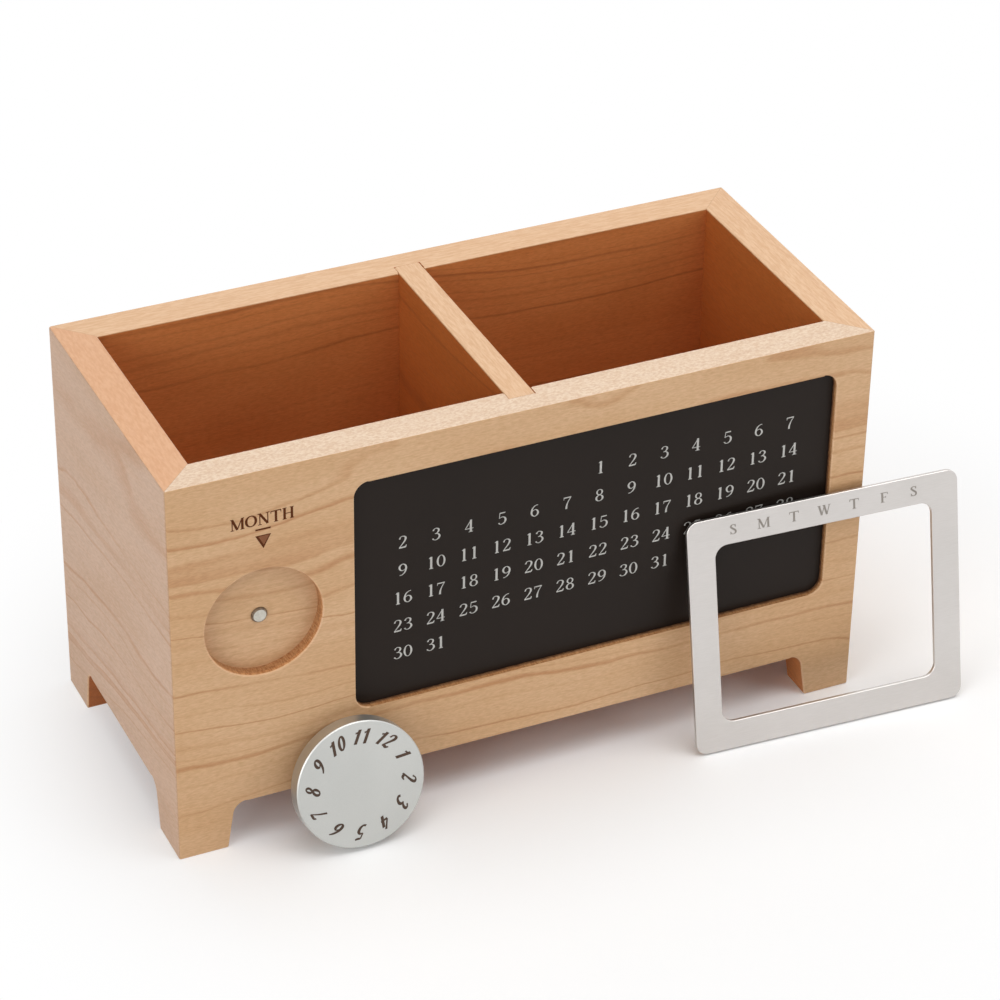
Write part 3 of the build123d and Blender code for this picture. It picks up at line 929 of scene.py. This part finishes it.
magnet_length = magnet_high.y - magnet_low.y
magnet_axis = Matrix.Translation((magnet_middle.x, magnet_high.y, magnet_middle.z)) @ Matrix.Rotation(
    pi / 2, 4, "X"
)
magnet_profile = [(magnet_radius, 0.0)] + [
    (magnet_radius - magnet_edge * (1 - cos(turn)), magnet_length - magnet_edge * (1 - sin(turn)))
    for turn in (pi / 2 * step / 5 for step in range(6))
]
magnet_button = turned_piece("magnet_button", magnet_profile, 48, magnet_axis)
magnet_button.data.materials.append(fine_material(
    "nickel_plate", ((0.48, 0.45, 0.39), (0.74, 0.72, 0.66)), (0.25, 0.40), (0.7, 0.7, 0.7), metallic=1.0,
))
# Its rounded edge takes a dark brown tone: painted shade and painted reflection of the wood round the
# magnet.
magnet_button.data.materials.append(fine_material(
    "painted_edge_shade", ((0.060, 0.030, 0.014), (0.420, 0.300, 0.190)), (0.35, 0.6), (0.8, 0.8, 0.8),
))
for face in magnet_button.data.polygons:
    off_axis = (face.center - magnet_middle) * Vector((1, 0, 1))
    if off_axis.length > magnet_radius - magnet_edge and face.normal.y > edge_facing:
        face.material_index = 1
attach(magnet_button, "box")
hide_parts("dial_magnet")

# --- Month dial and its keeper ----------------------------------------------------------------
# A turned aluminium disc, bead-blasted on its face and bright at its chamfer, with a boss that
# seats in the round pocket.  A steel keeper pressed into its back takes the magnet's pull.

dress("month_dial", fine_material(
    "blasted_aluminium", ((0.515, 0.52, 0.50), (0.58, 0.585, 0.565)), (0.42, 0.52), (5, 5, 5),
    metallic=1.0, bump=0.25,
))
dress("dial_keeper", fine_material(
    "plated_steel", ((0.50, 0.49, 0.47), (0.58, 0.57, 0.55)), (0.28, 0.40), (3, 3, 3), metallic=1.0,
))

# --- Months on the dial -----------------------------------------------------------------------
# 1 to 12 round the face in sloping figures with their tops outward, engraved and filled brown.
# The dial leans as it was set down, with 12 a little to the right of its top.

months = 12
month_circle = 12.2 * mm
month_height = 3.7 * mm
twelve_turn = radians(36.7)  # of the 12, clockwise from the top of the leaning face
figure_slope = 0.30
sloping_figures = [
    [oval(0.25, 0.5, 0.16, 0.44, 0.12, 0.08)],
    [stem(0.27, 0, 0.98, 0.13), [(0.27, 0.96, 0.07), (0.17, 0.80, 0.06), (0.06, 0.74, 0.10)]],
    [[(0.07, 0.74, 0.08), (0.13, 0.91, 0.07), (0.26, 0.96, 0.08), (0.39, 0.87, 0.12),
      (0.38, 0.68, 0.13), (0.24, 0.42, 0.10), (0.05, 0.08, 0.08)],
     [(0.04, 0.07, 0.08), (0.16, 0.11, 0.11), (0.30, 0.04, 0.12), (0.44, 0.14, 0.05)]],
    [[(0.08, 0.83, 0.08), (0.18, 0.95, 0.08), (0.33, 0.92, 0.11), (0.36, 0.74, 0.13),
      (0.27, 0.58, 0.09), (0.16, 0.53, 0.05)],
     [(0.16, 0.53, 0.05), (0.33, 0.48, 0.10), (0.41, 0.30, 0.14), (0.33, 0.10, 0.12),
      (0.17, 0.03, 0.10), (0.04, 0.14, 0.10)]],
    [[(0.22, 0.97, 0.11), (0.13, 0.66, 0.08), (0.04, 0.36, 0.08)], bar(0.03, 0.46, 0.33, 0.09),
     stem(0.34, 0.0, 0.78, 0.13)],
    [[(0.12, 0.94, 0.06), (0.28, 0.92, 0.11), (0.44, 0.97, 0.08)],
     [(0.13, 0.93, 0.06), (0.09, 0.56, 0.06)],
     [(0.09, 0.56, 0.06), (0.26, 0.59, 0.09), (0.38, 0.42, 0.13), (0.34, 0.17, 0.12),
      (0.20, 0.03, 0.09), (0.04, 0.07, 0.10)]],
    [[(0.38, 0.98, 0.06), (0.20, 0.80, 0.10), (0.08, 0.48, 0.12), (0.09, 0.18, 0.12),
      (0.22, 0.04, 0.08), (0.36, 0.16, 0.12), (0.39, 0.38, 0.12), (0.28, 0.54, 0.07),
      (0.12, 0.42, 0.05)]],
    [[(0.06, 0.78, 0.07), (0.10, 0.92, 0.09), (0.25, 0.91, 0.12), (0.44, 0.95, 0.06)],
     [(0.44, 0.95, 0.05), (0.28, 0.52, 0.07), (0.18, 0.0, 0.09)]],
    [oval(0.27, 0.75, 0.13, 0.20, 0.10, 0.07), oval(0.23, 0.26, 0.16, 0.24, 0.12, 0.07),
     [(0.38, 0.70, 0.08), (0.12, 0.32, 0.08)]],
]
sloping_figures.append(turned(sloping_figures[6]))

ring_tree, given = start_group("ring_of_months", [
    ("Months", SCALAR, 12.0), ("Circle", SCALAR, 0.012), ("First Turn", SCALAR, 0.0),
    *WRITER_SOCKETS, ("Material", "NodeSocketMaterial", None),
], "GeometryNodeTree")
month = add_math(ring_tree, "ADD", ring_tree.nodes.new("GeometryNodeInputIndex").outputs[0], 1.0)
month_turn = add_math(
    ring_tree, "ADD",
    add_math(ring_tree, "DIVIDE", add_math(ring_tree, "MULTIPLY", month, 2 * pi), given["Months"]),
    given["First Turn"],
)
month_place = add_node(ring_tree, "ShaderNodeCombineXYZ", {
    0: add_math(ring_tree, "MULTIPLY", add_math(ring_tree, "SINE", month_turn), given["Circle"]),
    1: add_math(ring_tree, "MULTIPLY", add_math(ring_tree, "COSINE", month_turn), given["Circle"]),
}).outputs[0]
upright_turn = add_math(ring_tree, "MULTIPLY", month_turn, -1.0)
write_numbers(
    ring_tree,
    number_points(ring_tree, given["Months"], month_place, {"number": month, "turn": upright_turn}),
    given,
)
spin = next(joint for joint in frame["joints"] if joint["name"] == "month_dial_spin")
dial_out = Vector(spin["axis"])
dial_front = front_of("month_dial", Vector((1, 0, 0)), dial_out)
dial_low, dial_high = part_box("month_dial")
dial_radius = (dial_high.x - dial_low.x) / 2
dial_numerals = grown_piece("dial_numerals", ring_tree, {
    "Months": float(months), "Circle": month_circle, "First Turn": twelve_turn,
    "Figures": figure_set("sloping", sloping_figures, 1.45, figure_slope),
    "Figure Height": month_height, "Figure Width": 1.12, "Thickness": proud, "Advance": 0.55,
    "Material": fine_material(
        "brown_fill", ((0.040, 0.018, 0.008), (0.075, 0.038, 0.020)), (0.5, 0.65), (3, 3, 3),
    ),
})
dial_numerals.data.transform(dial_front @ Matrix.Translation((dial_radius, dial_radius, 0)))
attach(dial_numerals, "dial")

# --- Weekday frame and its magnet strips ------------------------------------------------------
# Sheet aluminium, 1 mm thick, fine-brushed along its length, with a window for the dates.  Two
# strips of magnet rubber on its back hold it to the steel plate.

frame_turn, frame_lean = radians(-2.9), radians(12)
frame_along = Vector((cos(frame_turn), sin(frame_turn), 0))
frame_out = Vector((
    sin(frame_turn) * cos(frame_lean), -cos(frame_turn) * cos(frame_lean), sin(frame_lean),
))
dress("weekday_frame", fine_material(
    "brushed_aluminium", ((0.585, 0.555, 0.53), (0.655, 0.625, 0.605)), (0.36, 0.46), (0.12, 6, 6),
    metallic=1.0, bump=0.15,
))
strip_rubber = fine_material(
    "magnet_rubber", ((0.020, 0.017, 0.015), (0.035, 0.030, 0.027)), (0.65, 0.80), (2, 2, 2),
)
dress("upper_magnet_strip", strip_rubber)
dress("lower_magnet_strip", strip_rubber)

# --- Weekday letters --------------------------------------------------------------------------
# S M T W T F S over the window's columns, engraved and filled grey.

weekday_left, weekday_middle, weekday_pitch = 12.14 * mm, 57.85 * mm, 8.10 * mm
weekday_height, weekday_width = 2.6 * mm, 3.5 * mm
finished_lettering(
    "weekday_letters",
    lettered_mesh("weekday", [
        (letter, weekday_left + weekday_pitch * day - capitals[letter][0] * weekday_width / 2,
         weekday_middle - weekday_height / 2)
        for day, letter in enumerate("SMTWTFS")
    ], weekday_height, weekday_width, 1.25),
    front_of("weekday_frame", frame_along, frame_out),
    fine_material("grey_fill", ((0.25, 0.22, 0.19), (0.33, 0.30, 0.27)), (0.5, 0.65), (3, 3, 3)),
    "frame",
)

# --- Table, light and camera ------------------------------------------------------------------
# White paper under soft studio light, seen from the front left and above.

shadow_middle = (0.035, -0.02, 0)
shadow_reach, plain_white_from = 0.08, 0.18  # from the middle of the shadows


def seen_directly(tree):
    """One for what the camera sees, also in or through a surface, and nought for lit surfaces."""
    path = tree.nodes.new("ShaderNodeLightPath").outputs
    mirrored = add_math(tree, "MAXIMUM", path["Is Camera Ray"], path["Is Glossy Ray"])
    return add_math(tree, "MAXIMUM", mirrored, path["Is Transmission Ray"])


paper = bpy.data.materials.new("white_paper")
paper.use_nodes = True
paper_tree = paper.node_tree
paper_shader = paper_tree.nodes["Principled BSDF"]
paper_shader.inputs["Base Color"].default_value = (0.85, 0.85, 0.85, 1)
paper_shader.inputs["Roughness"].default_value = 0.9
paper_here = paper_tree.nodes.new("ShaderNodeTexCoord").outputs["Object"]
from_shadows = add_node(paper_tree, "ShaderNodeVectorMath", {
    0: paper_here, 1: shadow_middle,
}, operation="DISTANCE").outputs["Value"]
white_near = add_node(paper_tree, "ShaderNodeBsdfDiffuse", {"Color": (1, 1, 1, 1)}).outputs[0]
white_far = add_node(paper_tree, "ShaderNodeEmission", {"Color": (1, 1, 1, 1)}).outputs[0]
shown_white = add_node(paper_tree, "ShaderNodeMixShader", {
    0: add_ramp(paper_tree, from_shadows, shadow_reach, plain_white_from), 1: white_near, 2: white_far,
}).outputs[0]
paper_mix = add_node(paper_tree, "ShaderNodeMixShader", {
    0: seen_directly(paper_tree), 1: paper_shader.outputs[0], 2: shown_white,
}).outputs[0]
paper_tree.links.new(paper_mix, paper_tree.nodes["Material Output"].inputs["Surface"])
sweep_shape = bmesh.new()
bmesh.ops.create_grid(sweep_shape, x_segments=1, y_segments=1, size=4.0)
sweep = piece_from(sweep_shape, "sweep")
sweep.data.materials.append(paper)

world = bpy.data.worlds.new("studio")
bpy.context.scene.world = world
world.use_nodes = True
world_tree = world.node_tree
surround = world_tree.nodes["Background"]
surround.inputs["Color"].default_value = (1, 1, 1, 1)
surround.inputs["Strength"].default_value = 0.22
seen_white = add_node(world_tree, "ShaderNodeBackground", {"Color": (1, 1, 1, 1)}).outputs[0]
world_mix = add_node(world_tree, "ShaderNodeMixShader", {
    0: seen_directly(world_tree), 1: surround.outputs[0], 2: seen_white,
}).outputs[0]
world_tree.links.new(world_mix, world_tree.nodes["World Output"].inputs["Surface"])

lamp_target = Vector((0, 0, 0.05))
for name, place, size, power in (
    ("overhead_box", (0.12, -0.05, 1.0), 1.0, 7.7),
    ("left_box", (-1.0, -0.5, 0.45), 0.7, 4.2),
    ("right_box", (0.9, -0.7, 0.5), 0.7, 2.9),
):
    lamp = bpy.data.lights.new(name, "AREA")
    lamp.size = size
    lamp.energy = power
    holder = bpy.data.objects.new(name, lamp)
    bpy.context.scene.collection.objects.link(holder)
    holder.location = place
    holder.rotation_euler = (lamp_target - Vector(place)).to_track_quat("-Z", "Y").to_euler()

view_target = Vector((15.03, 9.77, 44.91)) * mm
view_distance = 902.2 * mm
view_azimuth, view_elevation, view_roll = radians(-25.05), radians(32.86), radians(0.94)
camera = bpy.data.cameras.new("photo_view")
camera.sensor_width = 36.0
camera.lens = 130.24
camera_holder = bpy.data.objects.new("photo_view", camera)
bpy.context.scene.collection.objects.link(camera_holder)
away = Vector((
    sin(view_azimuth) * cos(view_elevation),
    -cos(view_azimuth) * cos(view_elevation),
    sin(view_elevation),
))
camera_holder.location = view_target + view_distance * away
camera_holder.rotation_euler = (
    Matrix.Rotation(view_azimuth, 3, "Z")
    @ Matrix.Rotation(pi / 2 - view_elevation, 3, "X")
    @ Matrix.Rotation(view_roll, 3, "Z")
).to_euler()
bpy.context.scene.camera = camera_holder
bpy.context.scene.view_settings.view_transform = "Standard"
